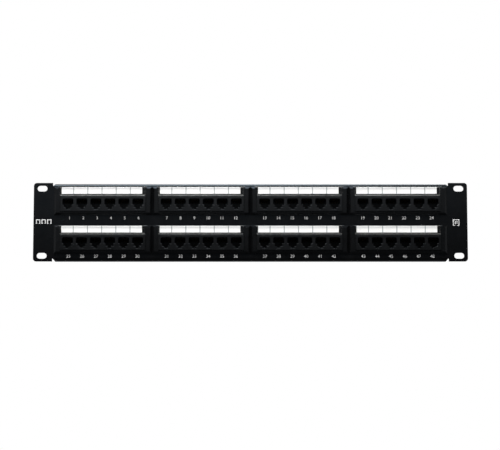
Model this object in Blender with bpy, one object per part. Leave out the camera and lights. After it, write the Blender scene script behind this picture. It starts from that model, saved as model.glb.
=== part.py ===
"""A 48-port, 19-inch patch panel, two rack units high.

The folded steel panel holds two rows of four snap-in modules. Each module is a moulded frame, a ganged
1 x 6 jack housing, a circuit board, two rows of insulation-displacement blocks, a paper label card and a
clear label cover that swings up on two pins.

X runs along the panel, -Y is the front and +Z is up. The origin is in the middle of the panel's front face.
"""

import math

import bmesh
import bpy

MM = 0.001
GAP = 0.3 * MM  # between pieces that touch

# Rack panel, to the 19-inch rack standard
PANEL_WIDTH = 482.6 * MM
PANEL_HEIGHT = 88.1 * MM
SLOT_SPACING_X = 463.4 * MM
SLOT_SPACING_Z = 75.4 * MM
SLOT_LENGTH = 11.1 * MM
SLOT_WIDTH = 6.6 * MM
SHEET = 1.6 * MM
EAR_CORNER = 3.3 * MM
FOLD_HALF_LENGTH = 219.9 * MM
FOLD_HALF_HEIGHT = 43.0 * MM
FOLD_RADIUS = 3.0 * MM
FLANGE_DEPTH = 12.0 * MM
RELIEF_DEPTH = 3.2 * MM
RELIEF_FLOOR = 0.6 * MM
RELIEF_SLOPE = 46  # degrees, on the fold's side
EAR_START = 219.7 * MM
EAR_OVERLAP = 5.0 * MM

# Modules: four in each row, numbered from the top left
COLUMNS = 4
ROWS = 2
MODULE_PITCH = 109.3 * MM
ROW_PITCH = 43.5 * MM
PORTS = 6
PORT_PITCH = 15.57 * MM

# Module frame, measured from the module's centre line and the row's centre height
FRAME_HALF_WIDTH = (MODULE_PITCH - GAP) / 2
FRAME_BOTTOM = -13.8 * MM
FRAME_TOP = 17.9 * MM
FRAME_FRONT = -3.1 * MM
FRAME_CHAMFER = 2.3 * MM
SLEEVE_HALF_WIDTH = 51.2 * MM
SLEEVE_BOTTOM = -11.2 * MM
SLEEVE_TOP = 15.7 * MM
SLEEVE_REAR = 12.7 * MM
LATCH_X = 30.0 * MM
LATCH_HALF_WIDTH = 4.0 * MM
LATCH_HEIGHT = 0.9 * MM
LATCH_LENGTH = 3.0 * MM
REAR_POCKET_BOTTOM = 9.0 * MM
REAR_POCKET_TOP = 14.2 * MM
REAR_POCKET_FLOOR = 0.7 * MM
ARM_THICKNESS = 1.3 * MM
ARM_HALF_HEIGHT = 4.0 * MM
HOOK_LENGTH = 1.0 * MM
HOOK_REACH = 1.1 * MM

# Jack housing
JACK_HALF_WIDTH = 47.3 * MM
JACK_BOTTOM = -10.1 * MM
JACK_TOP = 6.9 * MM
JACK_FRONT = -4.6 * MM
JACK_DEPTH = 13.4 * MM
PLUG_HALF_WIDTH = 6.05 * MM
PLUG_TOP = 4.1 * MM
PLUG_BOTTOM = -3.0 * MM
PLUG_CORNER = 1.2 * MM
STEP_HALF_WIDTH = 4.25 * MM
STEP_BOTTOM = -5.9 * MM
LATCHWAY_HALF_WIDTH = 2.1 * MM
LATCHWAY_BOTTOM = -8.0 * MM

# Circuit board
BOARD_HALF_WIDTH = 49.5 * MM
BOARD_HALF_HEIGHT = 19.0 * MM
BOARD_THICKNESS = 1.6 * MM

# Insulation-displacement blocks, one above and one below the row's centre height
IDC_PAIRS = 12
IDC_PITCH = 7.62 * MM
IDC_NEAR = 2.5 * MM
IDC_FAR = 17.5 * MM
IDC_DEPTH = 16.0 * MM
IDC_SLOT_DEPTH = 7.0 * MM
IDC_SLOT_WIDTH = 2.4 * MM
IDC_END = 1.9 * MM

# Label card, its recess and the clear cover
RECESS_FLOOR = -0.8 * MM
CARD_CENTRE_X = -1.35 * MM
CARD_WIDTH = 89.6 * MM
CARD_BOTTOM = 9.9 * MM
CARD_TOP = 17.2 * MM
CARD_THICKNESS = 0.3 * MM
COVER_CENTRE_X = -0.5 * MM
COVER_WIDTH = 94.4 * MM
COVER_BOTTOM = 7.4 * MM
COVER_THICKNESS = 1.4 * MM
COVER_LIP_HEIGHT = 0.9 * MM
COVER_LIP_REACH = 0.6 * MM
HINGE_Y = -2.4 * MM
HINGE_Z = 16.8 * MM
PIN_RADIUS = 0.5 * MM
PIN_LENGTH = 1.0 * MM
CHEEK_THICKNESS = 1.7 * MM
CHEEK_FOOT = 14.8 * MM

ARC_STEPS = 6
SHARP_ANGLE = 35  # degrees; rounded surfaces that turn less than this are shaded smooth


def clear_scene():
    for obj in list(bpy.data.objects):
        bpy.data.objects.remove(obj, do_unlink=True)


def material(name, colour, roughness, metallic=0.0, alpha=1.0):
    made = bpy.data.materials.new(name)
    made.use_nodes = True
    shader = made.node_tree.nodes["Principled BSDF"]
    shader.inputs["Base Color"].default_value = (*colour, 1.0)
    shader.inputs["Roughness"].default_value = roughness
    shader.inputs["Metallic"].default_value = metallic
    shader.inputs["Alpha"].default_value = alpha
    return made


def arc(centre, radius, start, end, steps=ARC_STEPS):
    """Points of an arc, with its angles in degrees, both ends included."""
    angles = [math.radians(start + (end - start) * step / steps) for step in range(steps + 1)]
    return [(centre[0] + radius * math.cos(a), centre[1] + radius * math.sin(a)) for a in angles]


def circle(centre, radius, steps=10):
    return arc(centre, radius, 0, 360 * (steps - 1) / steps, steps - 1)


def rectangle(low, high):
    return [low, (high[0], low[1]), high, (low[0], high[1])]


def point_on(axis, along, first, second):
    """The outline's two numbers are the coordinates across the axis, in the order X, Y, Z."""
    return {"X": (along, first, second), "Y": (first, along, second), "Z": (first, second, along)}[axis]


def add_prism(form, outline, axis, start, end):
    """Adds a closed prism to a bmesh: the outline, carried along the axis from start to end."""
    rings = [
        [form.verts.new(point_on(axis, along, *point)) for point in outline] for along in (start, end)
    ]
    for index in range(len(outline)):
        after = (index + 1) % len(outline)
        form.faces.new((rings[0][index], rings[0][after], rings[1][after], rings[1][index]))
    form.faces.new(reversed(rings[0]))
    form.faces.new(rings[1])


def add_box(form, low, high):
    add_prism(form, rectangle(low[:2], high[:2]), "Z", low[2], high[2])


def finished_mesh(name, form):
    bmesh.ops.recalc_face_normals(form, faces=form.faces)
    mesh = bpy.data.meshes.new(name)
    form.to_mesh(mesh)
    form.free()
    return mesh


def mesh_of(name, add_shapes):
    form = bmesh.new()
    add_shapes(form)
    return finished_mesh(name, form)


def combined(name, base, steps):
    """The base mesh with each step, ("UNION" or "DIFFERENCE", mesh), done to it in turn."""
    body = bpy.data.objects.new(name, base)
    bpy.context.scene.collection.objects.link(body)
    helpers = []
    for operation, mesh in steps:
        helper = bpy.data.objects.new(mesh.name, mesh)
        helper.hide_render = True
        helper.display_type = "WIRE"
        bpy.context.scene.collection.objects.link(helper)
        helpers.append(helper)
        modifier = body.modifiers.new(mesh.name, "BOOLEAN")
        modifier.operation = operation
        modifier.solver = "EXACT"
        modifier.object = helper
    bpy.context.view_layer.update()
    graph = bpy.context.evaluated_depsgraph_get()
    result = bpy.data.meshes.new_from_object(body.evaluated_get(graph))
    result.name = name
    for obj in (body, *helpers):
        bpy.data.objects.remove(obj, do_unlink=True)
    return result


def place(name, mesh, finish, location=(0, 0, 0)):
    obj = bpy.data.objects.new(name, mesh)
    obj.location = location
    if not mesh.materials:
        mesh.materials.append(finish)
    mesh.shade_smooth()
    mesh.set_sharp_from_angle(angle=math.radians(SHARP_ANGLE))
    bpy.context.scene.collection.objects.link(obj)


# ---------------------------------------------------------------- rack panel


def fold_profile():
    """The folded section across X, as (y, z): the flat face, two bends and two flanges."""
    bend_y = FOLD_RADIUS
    bend_z = FOLD_HALF_HEIGHT - FOLD_RADIUS
    inner = FOLD_RADIUS - SHEET
    upper_outer = arc((bend_y, bend_z), FOLD_RADIUS, 180, 90)
    upper_inner = arc((bend_y, bend_z), inner, 90, 180, 3)
    upper = [
        *upper_outer,
        (FLANGE_DEPTH, FOLD_HALF_HEIGHT),
        (FLANGE_DEPTH, FOLD_HALF_HEIGHT - SHEET),
        *upper_inner,
    ]
    lower = [(y, -z) for y, z in reversed(upper)]
    return upper + lower


def ear_outline(side):
    """One ear as (x, z), with its outer corners rounded; its inner end lies inside the flat face."""
    half = PANEL_HEIGHT / 2
    flat_edge = FOLD_HALF_HEIGHT - FOLD_RADIUS - GAP
    corner = (PANEL_WIDTH / 2 - EAR_CORNER, half - EAR_CORNER)
    upper = [
        (EAR_START - EAR_OVERLAP, flat_edge),
        (EAR_START, flat_edge),
        (EAR_START, half),
        *arc(corner, EAR_CORNER, 90, 0, 4),
    ]
    lower = [(x, -z) for x, z in reversed(upper)]
    return [(side * x, z) for x, z in upper + lower]


def add_reliefs(form):
    """The notches between fold and ears: upright on the ear's side, sloping on the fold's side."""
    floor = PANEL_HEIGHT / 2 - RELIEF_DEPTH
    above = PANEL_HEIGHT / 2 + RELIEF_DEPTH
    near = (EAR_START + FOLD_HALF_LENGTH - RELIEF_FLOOR) / 2
    far = near + RELIEF_FLOOR
    reach = (above - floor) / math.tan(math.radians(RELIEF_SLOPE))
    outline = [(near, floor), (far, floor), (far, above), (near - reach, above)]
    for side_x in (-1, 1):
        for side_z in (-1, 1):
            placed = [(side_x * x, side_z * z) for x, z in outline]
            add_prism(form, placed, "Y", -2 * SHEET, 2 * FLANGE_DEPTH)


def slot_outline(centre):
    reach = (SLOT_LENGTH - SLOT_WIDTH) / 2
    radius = SLOT_WIDTH / 2
    right = arc((centre[0] + reach, centre[1]), radius, -90, 90, 8)
    left = arc((centre[0] - reach, centre[1]), radius, 90, 270, 8)
    return right + left


def module_centres():
    """(number, x, z) of each module, from the top left."""
    for row in range(ROWS):
        for column in range(COLUMNS):
            x = (column - (COLUMNS - 1) / 2) * MODULE_PITCH
            z = ((ROWS - 1) / 2 - row) * ROW_PITCH
            yield row * COLUMNS + column + 1, x, z


def add_panel_openings(form):
    through = (-2 * SHEET, 2 * SHEET)
    for _, x, z in module_centres():
        low = (x - SLEEVE_HALF_WIDTH - GAP, z + SLEEVE_BOTTOM - GAP)
        high = (x + SLEEVE_HALF_WIDTH + GAP, z + SLEEVE_TOP + GAP)
        add_prism(form, rectangle(low, high), "Y", *through)
    for side_x in (-1, 1):
        for side_z in (-1, 1):
            centre = (side_x * SLOT_SPACING_X / 2, side_z * SLOT_SPACING_Z / 2)
            add_prism(form, slot_outline(centre), "Y", *through)


def rack_panel_mesh():
    fold = mesh_of(
        "fold", lambda form: add_prism(form, fold_profile(), "X", -FOLD_HALF_LENGTH, FOLD_HALF_LENGTH)
    )
    ears = [
        mesh_of(f"ear_{side}", lambda form, side=side: add_prism(form, ear_outline(side), "Y", 0, SHEET))
        for side in (-1, 1)
    ]
    steps = [("UNION", ear) for ear in ears]
    steps.append(("DIFFERENCE", mesh_of("reliefs", add_reliefs)))
    steps.append(("DIFFERENCE", mesh_of("panel_openings", add_panel_openings)))
    return combined("rack_panel", fold, steps)


# ---------------------------------------------------------------- module frame


def frame_flange_mesh():
    """The bezel: a plate whose front edge is chamfered all round."""
    form = bmesh.new()
    rings = []
    for y, inset in ((-GAP, 0), (FRAME_FRONT + FRAME_CHAMFER, 0), (FRAME_FRONT, FRAME_CHAMFER)):
        low = (-FRAME_HALF_WIDTH + inset, FRAME_BOTTOM + inset)
        high = (FRAME_HALF_WIDTH - inset, FRAME_TOP - inset)
        rings.append([form.verts.new((x, y, z)) for x, z in rectangle(low, high)])
    for near, far in zip(rings, rings[1:]):
        for index in range(4):
            after = (index + 1) % 4
            form.faces.new((near[index], near[after], far[after], far[index]))
    form.faces.new(rings[0])
    form.faces.new(rings[-1])
    return finished_mesh("frame_flange", form)


def add_sleeve(form):
    """The part of the frame that passes through the sheet, starting inside the bezel."""
    low = (-SLEEVE_HALF_WIDTH, -2 * GAP, SLEEVE_BOTTOM)
    add_box(form, low, (SLEEVE_HALF_WIDTH, SLEEVE_REAR, SLEEVE_TOP))


def add_latches(form):
    """Ramps behind the sheet, two on top and two below, that hold the frame in its window."""
    for x in (-LATCH_X, LATCH_X):
        for surface, way in ((SLEEVE_TOP, 1), (SLEEVE_BOTTOM, -1)):
            ramp = [
                (SHEET + GAP, surface - way * GAP),
                (SHEET + GAP, surface + way * LATCH_HEIGHT),
                (SHEET + GAP + LATCH_LENGTH, surface - way * GAP),
            ]
            add_prism(form, ramp, "X", x - LATCH_HALF_WIDTH, x + LATCH_HALF_WIDTH)


def add_board_arms(form):
    """A hooked arm at each end that holds the circuit board against the sleeve."""
    hook_y = SLEEVE_REAR + GAP + BOARD_THICKNESS + GAP
    for side in (-1, 1):
        outline = [
            (SLEEVE_HALF_WIDTH, SLEEVE_REAR - GAP),
            (SLEEVE_HALF_WIDTH, hook_y + HOOK_LENGTH),
            (SLEEVE_HALF_WIDTH - ARM_THICKNESS - HOOK_REACH, hook_y + HOOK_LENGTH),
            (SLEEVE_HALF_WIDTH - ARM_THICKNESS - HOOK_REACH, hook_y),
            (SLEEVE_HALF_WIDTH - ARM_THICKNESS, hook_y),
            (SLEEVE_HALF_WIDTH - ARM_THICKNESS, SLEEVE_REAR - GAP),
        ]
        placed = [(side * x, y) for x, y in outline]
        add_prism(form, placed, "Z", -ARM_HALF_HEIGHT, ARM_HALF_HEIGHT)


def cover_end(side):
    return COVER_CENTRE_X + side * COVER_WIDTH / 2


def add_cheeks(form):
    """A rounded cheek at each end of the label recess, around the cover's pin."""
    radius = FRAME_TOP - HINGE_Z
    outline = [
        (-2 * GAP, CHEEK_FOOT),
        (-2 * GAP, FRAME_TOP),
        *arc((HINGE_Y, HINGE_Z), radius, 90, 180, 4),
        (FRAME_FRONT + GAP, CHEEK_FOOT),
    ]
    for side in (-1, 1):
        inner = cover_end(side)
        outer = inner + side * (GAP + CHEEK_THICKNESS)
        add_prism(form, outline, "X", inner, outer)


def add_jack_opening(form):
    low = (-JACK_HALF_WIDTH - GAP, 2 * FRAME_FRONT, JACK_BOTTOM - GAP)
    high = (JACK_HALF_WIDTH + GAP, SLEEVE_REAR + GAP, JACK_TOP + GAP)
    add_box(form, low, high)


def add_label_recess(form):
    low = (cover_end(-1) - GAP, 2 * FRAME_FRONT, JACK_TOP)
    high = (cover_end(1) + GAP, RECESS_FLOOR, 2 * FRAME_TOP)
    add_box(form, low, high)


def add_rear_pocket(form):
    low = (-JACK_HALF_WIDTH, REAR_POCKET_FLOOR, REAR_POCKET_BOTTOM)
    add_box(form, low, (JACK_HALF_WIDTH, SLEEVE_REAR + GAP, REAR_POCKET_TOP))


def add_hinge_sockets(form):
    for side in (-1, 1):
        start = cover_end(side)
        end = start + side * (2 * GAP + PIN_LENGTH)
        add_prism(form, circle((HINGE_Y, HINGE_Z), PIN_RADIUS + GAP), "X", start, end)


def module_frame_mesh():
    steps = [
        ("UNION", mesh_of("sleeve", add_sleeve)),
        ("UNION", mesh_of("latches", add_latches)),
        ("UNION", mesh_of("board_arms", add_board_arms)),
        ("UNION", mesh_of("cheeks", add_cheeks)),
        ("DIFFERENCE", mesh_of("jack_opening", add_jack_opening)),
        ("DIFFERENCE", mesh_of("label_recess", add_label_recess)),
        ("DIFFERENCE", mesh_of("rear_pocket", add_rear_pocket)),
        ("DIFFERENCE", mesh_of("hinge_sockets", add_hinge_sockets)),
    ]
    return combined("module_frame", frame_flange_mesh(), steps)


# ---------------------------------------------------------------- jack housing


def port_outline(x):
    """The opening for one 8-way plug, as (x, z): the plug's body with the stepped way for its latch below."""
    right = [
        (LATCHWAY_HALF_WIDTH, LATCHWAY_BOTTOM),
        (LATCHWAY_HALF_WIDTH, STEP_BOTTOM),
        (STEP_HALF_WIDTH, STEP_BOTTOM),
        (STEP_HALF_WIDTH, PLUG_BOTTOM),
        (PLUG_HALF_WIDTH, PLUG_BOTTOM),
        (PLUG_HALF_WIDTH, PLUG_TOP - PLUG_CORNER),
        (PLUG_HALF_WIDTH - PLUG_CORNER, PLUG_TOP),
    ]
    left = [(-across, z) for across, z in reversed(right)]
    return [(x + across, z) for across, z in right + left]


def port_centres():
    return [(index - (PORTS - 1) / 2) * PORT_PITCH for index in range(PORTS)]


def add_ports(form):
    for x in port_centres():
        add_prism(form, port_outline(x), "Y", 2 * JACK_FRONT, JACK_FRONT + JACK_DEPTH)


def add_housing(form):
    add_box(form, (-JACK_HALF_WIDTH, JACK_FRONT, JACK_BOTTOM), (JACK_HALF_WIDTH, SLEEVE_REAR, JACK_TOP))


def jack_housing_mesh():
    ports = mesh_of("ports", add_ports)
    return combined("jack_housing", mesh_of("housing", add_housing), [("DIFFERENCE", ports)])


# ---------------------------------------------------------------- board, blocks, card and cover


def add_board(form):
    front = SLEEVE_REAR + GAP
    low = (-BOARD_HALF_WIDTH, front, -BOARD_HALF_HEIGHT)
    add_box(form, low, (BOARD_HALF_WIDTH, front + BOARD_THICKNESS, BOARD_HALF_HEIGHT))


def idc_outline():
    """A comb as (x, y): one slot for each wire pair, open to the rear."""
    front = SLEEVE_REAR + GAP + BOARD_THICKNESS + GAP
    rear = front + IDC_DEPTH
    half = IDC_PAIRS * IDC_PITCH / 2 + IDC_END
    points = [(half, rear), (half, front), (-half, front), (-half, rear)]
    for pair in range(IDC_PAIRS):
        x = (pair - (IDC_PAIRS - 1) / 2) * IDC_PITCH
        edge = IDC_SLOT_WIDTH / 2
        floor = rear - IDC_SLOT_DEPTH
        points += [(x - edge, rear), (x - edge, floor), (x + edge, floor), (x + edge, rear)]
    return points


def idc_mesh(name, way):
    low, high = sorted((way * IDC_NEAR, way * IDC_FAR))
    return mesh_of(name, lambda form: add_prism(form, idc_outline(), "Z", low, high))


def add_card(form):
    rear = RECESS_FLOOR - GAP
    low = (CARD_CENTRE_X - CARD_WIDTH / 2, rear - CARD_THICKNESS, CARD_BOTTOM)
    add_box(form, low, (CARD_CENTRE_X + CARD_WIDTH / 2, rear, CARD_TOP))


def add_cover(form):
    """The cover's section across X, rounded about the hinge, with a finger lip, in the cover's own frame."""
    half = COVER_THICKNESS / 2
    bottom = COVER_BOTTOM - HINGE_Z
    outline = [
        *arc((0, 0), half, 0, 180),
        (-half, bottom + COVER_LIP_HEIGHT),
        (-half - COVER_LIP_REACH, bottom + COVER_LIP_HEIGHT / 2),
        (-half - COVER_LIP_REACH, bottom),
        (half, bottom),
    ]
    add_prism(form, outline, "X", cover_end(-1), cover_end(1))


def add_pins(form):
    for side in (-1, 1):
        start = cover_end(side) - side * GAP
        add_prism(form, circle((0, 0), PIN_RADIUS), "X", start, cover_end(side) + side * PIN_LENGTH)


def label_cover_mesh():
    return combined("label_cover", mesh_of("cover", add_cover), [("UNION", mesh_of("pins", add_pins))])


# ---------------------------------------------------------------- the assembly


def main():
    clear_scene()
    steel = material("powder_coated_steel", (0.012, 0.012, 0.014), 0.45)
    frame_plastic = material("frame_plastic", (0.013, 0.013, 0.015), 0.5)
    jack_plastic = material("jack_plastic", (0.022, 0.022, 0.025), 0.3)
    board_green = material("board_green", (0.01, 0.12, 0.05), 0.4)
    block_plastic = material("block_plastic", (0.03, 0.03, 0.033), 0.45)
    paper = material("paper", (0.85, 0.85, 0.84), 0.8)
    clear_plastic = material("clear_plastic", (0.9, 0.92, 0.94), 0.1, alpha=0.2)

    place("rack_panel", rack_panel_mesh(), steel)
    repeated = [
        ("module_frame", module_frame_mesh(), frame_plastic),
        ("jack_block", jack_housing_mesh(), jack_plastic),
        ("circuit_board", mesh_of("circuit_board", add_board), board_green),
        ("idc_block_upper", idc_mesh("idc_block_upper", 1), block_plastic),
        ("idc_block_lower", idc_mesh("idc_block_lower", -1), block_plastic),
        ("label_card", mesh_of("label_card", add_card), paper),
    ]
    cover = label_cover_mesh()
    for number, x, z in module_centres():
        for name, mesh, finish in repeated:
            place(f"{name}_{number}", mesh, finish, (x, 0, z))
        place(f"label_cover_{number}", cover, clear_plastic, (x, HINGE_Y, z + HINGE_Z))


main()
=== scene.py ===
"""The looks of a 48-port, two-unit rack patch panel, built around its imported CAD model."""

import math

import bmesh
import bpy
from mathutils import Matrix, Quaternion, Vector


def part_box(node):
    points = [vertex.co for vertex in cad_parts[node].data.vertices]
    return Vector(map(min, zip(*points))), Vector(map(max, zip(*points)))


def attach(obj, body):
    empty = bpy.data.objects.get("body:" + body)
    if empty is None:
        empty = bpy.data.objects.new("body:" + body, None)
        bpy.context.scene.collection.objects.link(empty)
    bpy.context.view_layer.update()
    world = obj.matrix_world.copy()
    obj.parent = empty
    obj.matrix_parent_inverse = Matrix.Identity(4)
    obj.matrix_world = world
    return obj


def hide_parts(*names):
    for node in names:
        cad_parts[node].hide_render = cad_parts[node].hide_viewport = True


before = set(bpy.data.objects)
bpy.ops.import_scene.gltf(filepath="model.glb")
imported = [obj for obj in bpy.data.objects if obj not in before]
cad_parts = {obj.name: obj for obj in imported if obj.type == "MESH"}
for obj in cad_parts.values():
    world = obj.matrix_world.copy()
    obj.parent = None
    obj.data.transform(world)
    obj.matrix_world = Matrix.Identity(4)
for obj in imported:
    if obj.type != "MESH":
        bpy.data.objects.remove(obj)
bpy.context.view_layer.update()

MM = 0.001
ROOT = "panel"
MODULES = range(1, 9)
MODULES_IN_ROW = 4
PORTS = 6
PORT_PITCH = 15.57 * MM
CONTACTS = 8  # in each port
CONTACT_PITCH = 1.02 * MM

# Places inside a module, from the middle of its jack row
JACK_BOTTOM = -10.1 * MM
BOARD_REAR = 14.6 * MM
CARD_PITCH = 15.76 * MM

BACKGROUND = (1.0, 1.0, 1.0, 1.0)


# ---------------------------------------------------------------- materials


class Look:
    """A Principled material with a few procedural layers, all in the piece's own coordinates."""

    def __init__(self, name, colour, roughness, metallic=0.0, **sockets):
        self.material = bpy.data.materials.new(name)
        self.material.use_nodes = True
        self.tree = self.material.node_tree
        self.shader = self.tree.nodes["Principled BSDF"]
        self.place = self.add("ShaderNodeTexCoord").outputs["Object"]
        self.bump = None
        surface = {"Base Color": (*colour, 1.0), "Roughness": roughness, "Metallic": metallic}
        self.set(self.shader, surface)
        self.set(self.shader, sockets)

    def add(self, kind, inputs=None, **settings):
        node = self.tree.nodes.new(kind)
        for name, value in settings.items():
            setattr(node, name, value)
        self.set(node, inputs or {})
        return node

    def set(self, node, inputs):
        for name, value in inputs.items():
            self.feed(node.inputs[name], value)

    def feed(self, socket, value):
        """Links another node's output to the socket, or sets a plain value on it."""
        if isinstance(value, bpy.types.NodeSocket):
            self.tree.links.new(value, socket)
        else:
            socket.default_value = value

    def calculate(self, operation, *values):
        inputs = dict(enumerate(values))
        return self.add("ShaderNodeMath", inputs, operation=operation).outputs["Value"]

    def noise(self, size, detail=3.0, stretch=(1, 1, 1)):
        """Noise whose features are about `size` metres across."""
        mapping = self.add("ShaderNodeMapping", {"Vector": self.place, "Scale": stretch})
        inputs = {"Vector": mapping.outputs["Vector"], "Scale": 1 / size, "Detail": detail}
        return self.add("ShaderNodeTexNoise", inputs).outputs["Fac"]

    def ramp(self, factor, low, high, start=0.3, end=0.7):
        """The factor's range from start to end, spread from the low colour to the high one."""
        node = self.add("ShaderNodeValToRGB", {"Fac": factor})
        node.color_ramp.elements[0].position = start
        node.color_ramp.elements[1].position = end
        node.color_ramp.elements[0].color = (*low, 1.0)
        node.color_ramp.elements[1].color = (*high, 1.0)
        return node.outputs["Color"]

    def between(self, factor, low, high, start=0.3, end=0.7):
        """The factor's range from start to end, spread from low to high."""
        inputs = {
            "Value": factor, "From Min": start, "From Max": end, "To Min": low, "To Max": high
        }
        return self.add("ShaderNodeMapRange", inputs).outputs["Result"]

    def mix(self, factor, under, over):
        """A blend of two colours. The node enables only the sockets of its own data type."""
        node = self.add("ShaderNodeMix", data_type="RGBA")
        usable = [s for s in node.inputs if s.enabled and s.type != "VECTOR"]
        for name, value in {"Factor": factor, "A": under, "B": over}.items():
            self.feed(next(s for s in usable if s.name == name), value)
        return next(s for s in node.outputs if s.enabled)

    def mottled(self, size, low, high):
        self.set(self.shader, {"Base Color": self.ramp(self.noise(size), low, high)})
        return self

    def uneven_gloss(self, size, low, high):
        self.set(self.shader, {"Roughness": self.between(self.noise(size, 5.0), low, high)})
        return self

    def rough(self, size, depth, strength=1.0, stretch=(1, 1, 1)):
        """Adds a layer of relief, `depth` metres deep at full strength."""
        inputs = {"Height": self.noise(size, 2.0, stretch), "Distance": depth, "Strength": strength}
        if self.bump:
            inputs["Normal"] = self.bump
        self.bump = self.add("ShaderNodeBump", inputs).outputs["Normal"]
        self.set(self.shader, {"Normal": self.bump})
        return self


def grey(value, tint=(1.0, 1.0, 1.0)):
    return tuple(value * channel for channel in tint)


# Tints of a grey, and of the light that a black surface reflects
COOL = (0.94, 0.98, 1.08)
WARM = (1.12, 0.98, 0.98)
COOL_SHEEN = (0.86, 0.93, 1.0, 1.0)
BLUE_SHEEN = (0.68, 0.85, 1.0, 1.0)

# Where the jack plastic's reflection starts to be turned down into the openings as painted shade, and
# where it is fully down, along Y
OPENING_SHADE_START = -4.4 * MM
OPENING_SHADE_END = -2.6 * MM

# Where a label cell's printed line starts and is full, as shares of the pitch from its middle
LINE_START = 0.458
LINE_FULL = 0.468
LINE_GREY = (0.42, 0.44, 0.45, 1.0)


def powder_coat():
    sheen = {"IOR": 1.33, "Specular Tint": BLUE_SHEEN}
    look = Look("powder_coat_black", grey(0.0018), 0.25, **sheen)
    look.mottled(9 * MM, grey(0.0012, WARM), grey(0.0022, WARM))
    look.uneven_gloss(22 * MM, 0.22, 0.28)
    return look.rough(0.9 * MM, 0.03 * MM, 0.6).rough(0.25 * MM, 0.01 * MM, 0.5).material


def frame_plastic():
    sheen = {"IOR": 1.36, "Specular Tint": COOL_SHEEN}
    look = Look("frame_plastic_black", grey(0.0018), 0.25, **sheen)
    look.mottled(14 * MM, grey(0.0012, COOL), grey(0.0024, COOL))
    look.uneven_gloss(8 * MM, 0.22, 0.28)
    return look.rough(0.35 * MM, 0.014 * MM, 0.6).material


def jack_plastic():
    """Glossier than the frames in front; inside the openings its reflection is turned down as painted
    shade.
    """
    sheen = {"IOR": 1.42, "Specular Tint": COOL_SHEEN}
    look = Look("jack_plastic_black", grey(0.003), 0.22, **sheen)
    look.mottled(11 * MM, grey(0.0025, COOL), grey(0.004, COOL))
    look.uneven_gloss(6 * MM, 0.19, 0.25)
    depth = look.add("ShaderNodeSeparateXYZ", {"Vector": look.place}).outputs["Y"]
    # Painted shade: the reflection drops with depth into the openings, so they read dark
    painted_opening_shade = look.between(depth, 0.5, 0.17, OPENING_SHADE_START, OPENING_SHADE_END)
    look.set(look.shader, {"Specular IOR Level": painted_opening_shade})
    return look.rough(0.5 * MM, 0.008 * MM, 0.5).material


def block_plastic():
    look = Look("block_plastic_grey", grey(0.05), 0.4, **{"IOR": 1.5})
    look.mottled(12 * MM, grey(0.035, COOL), grey(0.05, COOL))
    look.uneven_gloss(7 * MM, 0.35, 0.45)
    return look.rough(0.3 * MM, 0.012 * MM, 0.5).material


def paper():
    """White card with a fine tooth; thin grey printed lines part its six cells."""
    look = Look("label_paper", grey(0.93), 0.75)
    across = look.add("ShaderNodeSeparateXYZ", {"Vector": look.place}).outputs["X"]
    cells = look.calculate("DIVIDE", across, CARD_PITCH)
    place = look.calculate("FRACT", cells)
    away = look.calculate("SUBTRACT", place, 0.5)
    middle = look.calculate("ABSOLUTE", away)
    line = look.between(middle, 0.0, 1.0, LINE_START, LINE_FULL)
    tooth = look.noise(0.6 * MM, 4.0, (1, 1, 3))
    fibre = look.ramp(tooth, grey(0.9), grey(0.95, (1.0, 1.0, 0.985)))
    look.set(look.shader, {"Base Color": look.mix(line, fibre, LINE_GREY)})
    return look.rough(0.4 * MM, 0.01 * MM, 0.4).material


def clear_plastic():
    look = Look("clear_plastic", grey(0.05, COOL), 0.06, **{"IOR": 1.58, "Alpha": 0.035})
    look.uneven_gloss(10 * MM, 0.04, 0.09)
    return look.rough(2.0 * MM, 0.006 * MM, 0.3).material


def clear_edge():
    """The cut edges of the clear cover, which gather light and look frosted."""
    look = Look("clear_plastic_edge", grey(0.24), 0.25, **{"IOR": 1.5, "Alpha": 0.7})
    look.mottled(1.5 * MM, grey(0.17), grey(0.3, (1.0, 1.02, 0.96)))
    return look.rough(0.5 * MM, 0.02 * MM, 0.6).material


def solder_mask():
    """Green board lacquer with slightly raised, lighter copper tracks under it."""
    look = Look("solder_mask_green", (0.01, 0.1, 0.04), 0.3)
    upright = {"Vector": look.place, "Rotation": (math.radians(90), 0, 0)}
    bricks = {
        "Vector": look.add("ShaderNodeMapping", upright).outputs["Vector"],
        "Scale": 1.0,
        "Brick Width": 7.62 * MM,
        "Row Height": 1.27 * MM,
        "Mortar Size": 0.2 * MM,
        "Color1": (0.012, 0.13, 0.05, 1),
        "Color2": (0.01, 0.11, 0.045, 1),
        "Mortar": (0.006, 0.065, 0.026, 1),
    }
    tracks = look.add("ShaderNodeTexBrick", bricks)
    look.set(look.shader, {"Base Color": tracks.outputs["Color"]})
    relief = look.add(
        "ShaderNodeBump",
        {"Height": tracks.outputs["Fac"], "Distance": 0.05 * MM, "Strength": 0.6},
        invert=True,
    )
    look.bump = relief.outputs["Normal"]
    look.uneven_gloss(9 * MM, 0.22, 0.38)
    return look.rough(0.7 * MM, 0.006 * MM, 0.4).material


def gold():
    look = Look("contact_gold", (0.6, 0.4, 0.16), 0.25, 1.0)
    look.mottled(1.2 * MM, (0.5, 0.33, 0.13), (0.66, 0.46, 0.2))
    return look.uneven_gloss(0.8 * MM, 0.2, 0.34).rough(0.2 * MM, 0.004 * MM, 0.5).material


def tin():
    look = Look("tin_plate", (0.6, 0.6, 0.6), 0.3, 1.0)
    look.mottled(0.9 * MM, grey(0.5), grey(0.68, COOL))
    return look.uneven_gloss(0.7 * MM, 0.22, 0.42).rough(0.3 * MM, 0.01 * MM, 0.6).material


def print_white():
    look = Look("print_white", grey(0.56), 0.5)
    look.mottled(0.7 * MM, grey(0.5), grey(0.62))
    return look.rough(0.15 * MM, 0.005 * MM, 0.5).material


# ---------------------------------------------------------------- mesh helpers


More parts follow.
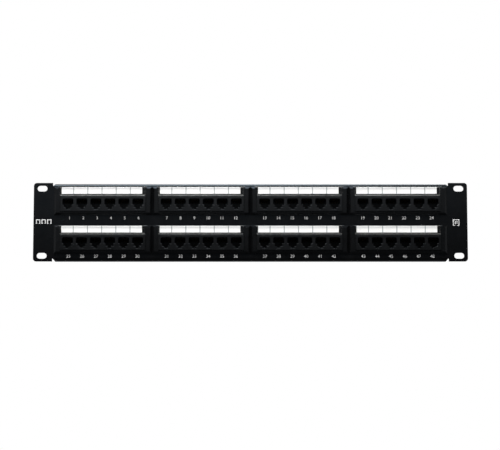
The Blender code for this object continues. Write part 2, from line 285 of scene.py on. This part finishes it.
def new_piece(name, mesh, look, body=ROOT, origin=(0, 0, 0)):
    piece = bpy.data.objects.new(name, mesh)
    bpy.context.scene.collection.objects.link(piece)
    piece.location = origin
    if not mesh.materials:
        mesh.materials.append(look)
    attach(piece, body)
    return piece


def smooth(mesh, degrees=35):
    mesh.shade_smooth()
    mesh.set_sharp_from_angle(angle=math.radians(degrees))


def mesh_from(name, form):
    bmesh.ops.recalc_face_normals(form, faces=form.faces)
    mesh = bpy.data.meshes.new(name)
    form.to_mesh(mesh)
    form.free()
    return mesh


def softened(form, width, segments=2, sharpest=30):
    """Rounds every edge of a closed form that turns more than `sharpest` degrees."""
    turning = math.radians(sharpest)
    edges = [edge for edge in form.edges if edge.is_manifold and edge.calc_face_angle() > turning]
    bmesh.ops.bevel(
        form,
        geom=edges,
        offset=width,
        segments=segments,
        profile=0.5,
        affect="EDGES",
        clamp_overlap=True,
    )


WELD = 0.002 * MM
FLAT = math.radians(1)  # CAD faces that turn less than this from each other become one


def refined_mesh(node, width, segments=2):
    """A CAD node's shape, welded, with its sharp edges rounded as moulding or coating rounds them."""
    form = bmesh.new()
    form.from_mesh(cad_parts[node].data)
    bmesh.ops.remove_doubles(form, verts=form.verts, dist=WELD)
    bmesh.ops.dissolve_limit(
        form, angle_limit=FLAT, verts=form.verts, edges=form.edges, delimit={"NORMAL"}
    )
    softened(form, width, segments)
    mesh = mesh_from(node + "_shape", form)
    smooth(mesh)
    return mesh


def refined(node, width, look, body=ROOT, segments=2):
    piece = new_piece(node + "_finished", refined_mesh(node, width, segments), look, body)
    weighted = piece.modifiers.new("weighted", "WEIGHTED_NORMAL")
    weighted.keep_sharp = True
    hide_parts(node)
    return piece


def add_box(form, low, high):
    made = bmesh.ops.create_cube(form, size=1.0)["verts"]
    size = Vector(high) - Vector(low)
    middle = (Vector(high) + Vector(low)) / 2
    bmesh.ops.scale(form, vec=size, verts=made)
    bmesh.ops.translate(form, vec=middle, verts=made)
    return made


def add_strip(form, path, x, width, thickness):
    """A flat wire along a path of (y, z) points, centred on x."""
    rings = []
    for index, (y, z) in enumerate(path):
        before = Vector(path[max(index - 1, 0)])
        after = Vector(path[min(index + 1, len(path) - 1)])
        along = (after - before).normalized()
        across = Vector((-along.y, along.x)) * thickness / 2
        corners = [(-1, -1), (1, -1), (1, 1), (-1, 1)]
        ring = [
            form.verts.new((x + sx * width / 2, y + sz * across.x, z + sz * across.y))
            for sx, sz in corners
        ]
        rings.append(ring)
    for near, far in zip(rings, rings[1:]):
        for index in range(4):
            after = (index + 1) % 4
            form.faces.new((near[index], near[after], far[after], far[index]))
    form.faces.new(reversed(rings[0]))
    form.faces.new(rings[-1])


def spread(count, pitch):
    """That many places in a row, a pitch apart and centred on 0."""
    return [(index - (count - 1) / 2) * pitch for index in range(count)]


def module_origin(number):
    """The middle of the module's jack row on the panel's front face."""
    low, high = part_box(f"jack_block_{number}")
    return Vector(((low.x + high.x) / 2, 0.0, low.z - JACK_BOTTOM))


# ---------------------------------------------------------------- pieces


CONTACT_WIDTH = 0.46 * MM
CONTACT_THICKNESS = 0.3 * MM
CONTACT_PATH = (  # y and z, from the jack's roof at the front down to the rear
    (1.0 * MM, 3.75 * MM),
    (1.5 * MM, 3.35 * MM),
    (2.8 * MM, 2.5 * MM),
    (6.2 * MM, 0.3 * MM),
    (7.0 * MM, 0.25 * MM),
)


def contact_wires_mesh():
    """Eight spring wires in the roof of each jack, sloping down to the rear."""
    form = bmesh.new()
    for centre in spread(PORTS, PORT_PITCH):
        for place in spread(CONTACTS, CONTACT_PITCH):
            add_strip(form, CONTACT_PATH, centre + place, CONTACT_WIDTH, CONTACT_THICKNESS)
    return mesh_from("contact_wires", form)


RIB_HALF = 0.2 * MM
RIB_FRONT, RIB_REAR = -0.2 * MM, 8.4 * MM
RIB_BOTTOM, RIB_TOP = 2.9 * MM, 3.95 * MM


def contact_combs_mesh():
    """A ribbed guide in the roof of each jack that keeps the spring wires apart."""
    form = bmesh.new()
    for centre in spread(PORTS, PORT_PITCH):
        for place in spread(CONTACTS + 1, CONTACT_PITCH):
            x = centre + place
            low = (x - RIB_HALF, RIB_FRONT, RIB_BOTTOM)
            add_box(form, low, (x + RIB_HALF, RIB_REAR, RIB_TOP))
    return mesh_from("contact_combs", form)


SOLDER_ROW = 1.2 * MM  # each row's distance from the jack row's middle
SOLDER_FOOT = 0.75 * MM
SOLDER_TIP = 0.3 * MM
SOLDER_HEIGHT = 0.7 * MM
SOLDER_MIDDLE = 0.4 * MM  # behind the board


def solder_joints_mesh():
    """Two staggered rows of soldered pins behind each jack, on the board's rear."""
    form = bmesh.new()
    turn = Matrix.Rotation(math.radians(-90), 3, "X")
    for centre in spread(PORTS, PORT_PITCH):
        for pin, place in enumerate(spread(CONTACTS, CONTACT_PITCH)):
            row = SOLDER_ROW if pin % 2 else -SOLDER_ROW
            cone = bmesh.ops.create_cone(
                form,
                cap_ends=True,
                segments=10,
                radius1=SOLDER_FOOT,
                radius2=SOLDER_TIP,
                depth=SOLDER_HEIGHT,
            )["verts"]
            bmesh.ops.rotate(form, cent=(0, 0, 0), matrix=turn, verts=cone)
            middle = (centre + place, BOARD_REAR + SOLDER_MIDDLE, row)
            bmesh.ops.translate(form, vec=middle, verts=cone)
    mesh = mesh_from("solder_joints", form)
    smooth(mesh, 60)
    return mesh


WIRE_SLOTS = 24
WIRE_PITCH = 3.81 * MM
BLOCK_FRONT = 14.9 * MM
BLOCK_DEPTH = 16.0 * MM
BLOCK_NEAR = 2.5 * MM
BLOCK_FAR = 17.5 * MM
BLOCK_REAR = BLOCK_FRONT + BLOCK_DEPTH
BLOCK_MARGIN = 1.9 * MM  # beside the outer slots
SHOULDER = 1.2 * MM  # from the tips forward to the block's outer corners
SLOT_DEPTH = 7.0 * MM
HALF_SLOT = 0.55 * MM
HALF_TIP = 0.25 * MM
TOOTH_STEP = 2.2 * MM  # how much lower every second tooth is
TOOTH_POINT = 1.6 * MM


def idc_block_mesh():
    """A comb with a slot for each wire and pointed teeth, every second one lower."""
    tips = (BLOCK_REAR, BLOCK_REAR - TOOTH_STEP)
    floor = BLOCK_REAR - SLOT_DEPTH
    half = WIRE_SLOTS * WIRE_PITCH / 2 + BLOCK_MARGIN
    corner = BLOCK_REAR - SHOULDER
    outline = [(half, corner), (half, BLOCK_FRONT), (-half, BLOCK_FRONT), (-half, corner)]
    # Each tooth lies between the slot before it and the slot after it, or a block's end.
    before = -half
    for tooth, centre in enumerate([*spread(WIRE_SLOTS, WIRE_PITCH), None]):
        after = half if centre is None else centre - HALF_SLOT
        tip, next_tip = tips[tooth % 2], tips[(tooth + 1) % 2]
        outline.append(((before + after) / 2 - HALF_TIP, tip))
        outline.append(((before + after) / 2 + HALF_TIP, tip))
        if centre is None:
            break
        before = after + 2 * HALF_SLOT
        outline += [(after, tip - TOOTH_POINT), (after, floor)]
        outline += [(before, floor), (before, next_tip - TOOTH_POINT)]
    form = bmesh.new()
    half_height = (BLOCK_FAR - BLOCK_NEAR) / 2
    rings = [[form.verts.new((x, y, z)) for x, y in outline] for z in (-half_height, half_height)]
    for index in range(len(outline)):
        after = (index + 1) % len(outline)
        form.faces.new((rings[0][index], rings[0][after], rings[1][after], rings[1][index]))
    form.faces.new(reversed(rings[0]))
    form.faces.new(rings[1])
    bmesh.ops.recalc_face_normals(form, faces=form.faces)
    softened(form, 0.15 * MM, 1)
    mesh = mesh_from("idc_block", form)
    smooth(mesh)
    return mesh


BLADE_INNER, BLADE_OUTER = 0.12 * MM, 0.45 * MM  # from the slot's middle
BLADE_FOOT, BLADE_TIP = 6.9 * MM, 3.0 * MM  # in front of the block's rear
BLADE_HALF_HEIGHT = 2.2 * MM


def idc_clips_mesh():
    """A split metal clip standing in each wire slot of one block."""
    form = bmesh.new()
    for x in spread(WIRE_SLOTS, WIRE_PITCH):
        for side in (-1, 1):
            left, right = sorted((x + side * BLADE_INNER, x + side * BLADE_OUTER))
            low = (left, BLOCK_REAR - BLADE_FOOT, -BLADE_HALF_HEIGHT)
            add_box(form, low, (right, BLOCK_REAR - BLADE_TIP, BLADE_HALF_HEIGHT))
    return mesh_from("idc_clips", form)


CARD_COLUMNS = 24


def card_mesh(low, high, origin):
    """The label card in its own frame: a thin, flat, closed strip, centred on its printed cells."""
    form = bmesh.new()
    size = high - low
    for y in (low.y, high.y):
        for step in range(CARD_COLUMNS + 1):
            x = -size.x / 2 + size.x * step / CARD_COLUMNS
            for z in (-size.z / 2, size.z / 2):
                form.verts.new((x, y - origin.y, z))
    form.verts.ensure_lookup_table()
    row = 2 * (CARD_COLUMNS + 1)
    for step in range(CARD_COLUMNS):
        a = 2 * step
        form.faces.new([form.verts[i] for i in (a, a + 2, a + 3, a + 1)])
        form.faces.new([form.verts[row + i] for i in (a + 1, a + 3, a + 2, a)])
        form.faces.new([form.verts[i] for i in (a, row + a, row + a + 2, a + 2)])
        form.faces.new([form.verts[i] for i in (a + 1, a + 3, row + a + 3, row + a + 1)])
    end = 2 * CARD_COLUMNS
    form.faces.new([form.verts[i] for i in (0, 1, row + 1, row)])
    form.faces.new([form.verts[i] for i in (end, row + end, row + end + 1, end + 1)])
    return mesh_from("label_card", form)


LARGE_FACE = 20 * MM * MM


def add_cover(number, clear, edge):
    """The clear cover: its large front and rear faces clear, and its cut edges frosted."""
    node = f"label_cover_{number}"
    mesh = refined_mesh(node, 0.18 * MM, 2)
    mesh.materials.append(clear)
    mesh.materials.append(edge)
    for face in mesh.polygons:
        is_clear = abs(face.normal.y) > 0.95 and face.area > LARGE_FACE
        face.material_index = 0 if is_clear else 1
    piece = new_piece(node + "_finished", mesh, clear, f"cover_{number}")
    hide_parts(node)


DIGIT_HEIGHT = 3.4 * MM
DIGIT_SHARE = 0.7  # a digit's height as a share of the font's size
STROKE_GROWTH = 0.004  # of the font's size
NUMBER_DROP_UPPER = -17.2 * MM
NUMBER_DROP_LOWER = -16.7 * MM
NUMBER_PITCH = 15.32 * MM
NUMBER_SHIFT = (1.1, -0.1, -0.6, -0.8, 0.2, 0.1, -0.4, -0.3)  # mm, module by module
PRINT_Y = -0.03 * MM
INK = 0.02 * MM


def text_mesh(text, height):
    """Flat digits as a mesh, facing the front, centred on their own middle."""
    curve = bpy.data.curves.new("digits", "FONT")
    curve.body = text
    curve.align_x = "CENTER"
    curve.align_y = "CENTER"
    curve.size = height / DIGIT_SHARE
    curve.offset = STROKE_GROWTH * curve.size
    curve.extrude = INK / 2
    curve.resolution_u = 4
    maker = bpy.data.objects.new("digits", curve)
    bpy.context.scene.collection.objects.link(maker)
    bpy.context.view_layer.update()
    graph = bpy.context.evaluated_depsgraph_get()
    mesh = bpy.data.meshes.new_from_object(maker.evaluated_get(graph))
    bpy.data.objects.remove(maker, do_unlink=True)
    mesh.transform(Matrix.Rotation(math.radians(90), 4, "X"))
    return mesh


def add_numbers(number, look):
    """The six port numbers under one module, printed on the steel."""
    form = bmesh.new()
    drop = NUMBER_DROP_UPPER if number <= MODULES_IN_ROW else NUMBER_DROP_LOWER
    for index, place in enumerate(spread(PORTS, NUMBER_PITCH)):
        x = place + NUMBER_SHIFT[number - 1] * MM
        digits = text_mesh(str((number - 1) * PORTS + index + 1), DIGIT_HEIGHT)
        digits.transform(Matrix.Translation((x, PRINT_Y, drop)))
        form.from_mesh(digits)
        bpy.data.meshes.remove(digits)
    bmesh.ops.remove_doubles(form, verts=form.verts, dist=0.0005 * MM)
    mesh = mesh_from("port_numbers", form)
    new_piece(f"port_numbers_{number}", mesh, look, origin=module_origin(number))


def add_ear_marks(look):
    """Plain printed pictograms: three sockets on the left ear, one inside another on the right."""
    low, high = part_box("rack_panel")
    ear = (high.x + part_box("module_frame_4")[1].x) / 2
    depth = (PRINT_Y - INK / 2, PRINT_Y + INK / 2)

    def add_socket(form, x, z, size, line):
        half = size / 2
        gap = 0.2 * size  # half the opening in the socket's lower edge
        for low_x, low_z, high_x, high_z in (
            (-half, half - line, half, half),
            (-half, -half, -half + line, half - line),
            (half - line, -half, half, half - line),
            (-half + line, -half, -gap, -half + line),
            (gap, -half, half - line, -half + line),
        ):
            add_box(form, (x + low_x, depth[0], z + low_z), (x + high_x, depth[1], z + high_z))

    left = bmesh.new()
    for step in (-1, 0, 1):
        add_socket(left, -ear + step * 6.2 * MM, 0.6 * MM, 4.8 * MM, 0.9 * MM)
    new_piece("ear_mark_left", mesh_from("ear_mark_left", left), look)
    right = bmesh.new()
    add_socket(right, ear - 1.2 * MM, -0.6 * MM, 7.2 * MM, 0.9 * MM)
    add_socket(right, ear - 1.2 * MM, -0.6 * MM, 2.8 * MM, 0.7 * MM)
    new_piece("ear_mark_right", mesh_from("ear_mark_right", right), look)


def build_object():
    steel = powder_coat()
    bezel = frame_plastic()
    jack = jack_plastic()
    block = block_plastic()
    board = solder_mask()
    card_look = paper()
    clear = clear_plastic()
    edge = clear_edge()
    gilt = gold()
    plated = tin()
    ink = print_white()

    refined("rack_panel", 0.2 * MM, steel)
    wires = contact_wires_mesh()
    combs = contact_combs_mesh()
    joints = solder_joints_mesh()
    comb_block = idc_block_mesh()
    clips = idc_clips_mesh()
    for number in MODULES:
        origin = module_origin(number)
        refined(f"module_frame_{number}", 0.25 * MM, bezel)
        refined(f"jack_block_{number}", 0.2 * MM, jack)
        refined(f"circuit_board_{number}", 0.1 * MM, board, segments=1)
        new_piece(f"contact_wires_{number}", wires, gilt, origin=origin)
        new_piece(f"contact_combs_{number}", combs, jack, origin=origin)
        new_piece(f"solder_joints_{number}", joints, plated, origin=origin)
        for level, way in (("upper", 1), ("lower", -1)):
            middle = origin + Vector((0, 0, way * (BLOCK_NEAR + BLOCK_FAR) / 2))
            node = f"idc_block_{level}_{number}"
            piece = new_piece(
                node + "_finished", comb_block, block, origin=middle
            )
            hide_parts(node)
            new_piece(f"idc_clips_{level}_{number}", clips, plated, origin=middle)
        low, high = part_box(f"label_card_{number}")
        middle = (low + high) / 2
        shape = card_mesh(low, high, middle)
        card = new_piece(
            f"label_card_{number}_finished", shape, card_look, origin=middle
        )
        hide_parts(f"label_card_{number}")
        add_cover(number, clear, edge)
        add_numbers(number, ink)
    add_ear_marks(ink)


# ---------------------------------------------------------------- camera, floor and light

CAMERA_DISTANCE = 2.3
CAMERA_ELEVATION = -8.0
FRAME_WIDTH = 0.5558  # what the picture spans at the panel's front face
SENSOR = 36.0
AIM = Vector((-0.0005, 0.0, -0.0033))
FLOOR_Z = -2.6
FLOOR_HALF = 30.0
FLOOR_GLOW = 0.62
WORLD_LIGHT = 0.06


def add_camera():
    tilt = math.radians(CAMERA_ELEVATION)
    away = Vector((0, -math.cos(tilt), math.sin(tilt)))
    data = bpy.data.cameras.new("camera")
    data.sensor_width = SENSOR
    data.lens = SENSOR * CAMERA_DISTANCE / FRAME_WIDTH
    data.clip_end = 50
    camera = bpy.data.objects.new("camera", data)
    camera.location = AIM + away * CAMERA_DISTANCE
    camera.rotation_euler = (-away).to_track_quat("-Z", "Y").to_euler()
    bpy.context.scene.collection.objects.link(camera)
    bpy.context.scene.camera = camera


def add_light(name, place, target, size, radiance, colour=(1, 1, 1), roll=0.0):
    """A rectangular softbox of the given radiance, aimed at the target, which no camera sees."""
    data = bpy.data.lights.new(name, "AREA")
    data.shape = "RECTANGLE"
    data.size, data.size_y = size
    data.energy = radiance * math.pi * size[0] * size[1]
    data.color = colour
    light = bpy.data.objects.new(name, data)
    light.location = place
    aim = Vector(target) - Vector(place)
    turned = aim.to_track_quat("-Z", "Y") @ Quaternion((0, 0, 1), math.radians(roll))
    light.rotation_euler = turned.to_euler()
    light.visible_camera = False
    bpy.context.scene.collection.objects.link(light)


def add_floor():
    """A pale floor well below the panel, which a rack would hold clear of it."""
    form = bmesh.new()
    bmesh.ops.create_grid(form, x_segments=2, y_segments=2, size=FLOOR_HALF)
    floor = bpy.data.objects.new("floor", mesh_from("floor", form))
    floor.location = (0, 0, FLOOR_Z)
    floor.visible_glossy = False
    bpy.context.scene.collection.objects.link(floor)
    look = Look("floor_pale", grey(0.82), 0.7)
    look.mottled(400 * MM, grey(0.8), grey(0.84))
    pale = look.ramp(look.noise(900 * MM), grey(0.97), grey(1.0))
    look.set(look.shader, {"Emission Color": pale, "Emission Strength": FLOOR_GLOW})
    floor.data.materials.append(look.material)


def add_world():
    """A white studio background that lights the object only a little."""
    world = bpy.data.worlds.new("studio")
    world.use_nodes = True
    nodes, links = world.node_tree.nodes, world.node_tree.links
    seen = nodes["Background"]
    seen.inputs["Color"].default_value = BACKGROUND
    seen.inputs["Strength"].default_value = 1.0
    lighting = nodes.new("ShaderNodeBackground")
    lighting.inputs["Color"].default_value = (0.9, 0.95, 1.0, 1.0)
    lighting.inputs["Strength"].default_value = WORLD_LIGHT
    mix = nodes.new("ShaderNodeMixShader")
    path = nodes.new("ShaderNodeLightPath")
    links.new(path.outputs["Is Camera Ray"], mix.inputs["Fac"])
    links.new(lighting.outputs["Background"], mix.inputs[1])
    links.new(seen.outputs["Background"], mix.inputs[2])
    links.new(mix.outputs["Shader"], nodes["World Output"].inputs["Surface"])
    bpy.context.scene.world = world


def add_studio():
    add_floor()
    add_world()
    # name, place, target, size, radiance
    add_light("overhead", (-0.06, -0.05, 0.75), (-0.03, 0, 0), (0.5, 0.5), 3.5, (0.7, 0.85, 1.0))
    add_light("front_key", (-0.28, -0.62, 1.05), (0, 0, 0), (1.3, 0.42), 19.5, (1.0, 0.99, 0.97))
    add_light("low_sheen", (-0.05, -0.5, 0.305), (-0.05, 0.0, 0.305), (1.1, 0.44), 0.46, roll=3)
    add_light("left_strip", (-1.3, -0.3, 0.1), (0, 0, 0), (0.9, 0.9), 0.5)
    add_light("right_strip", (1.3, -0.3, 0.1), (0, 0, 0), (0.9, 0.9), 0.45)
    add_light("rear_fill", (0.35, 1.0, 1.4), (0, 0, 0), (1.2, 0.8), 9.0)
    bpy.context.scene.view_settings.view_transform = "Standard"


add_camera()
build_object()
add_studio()
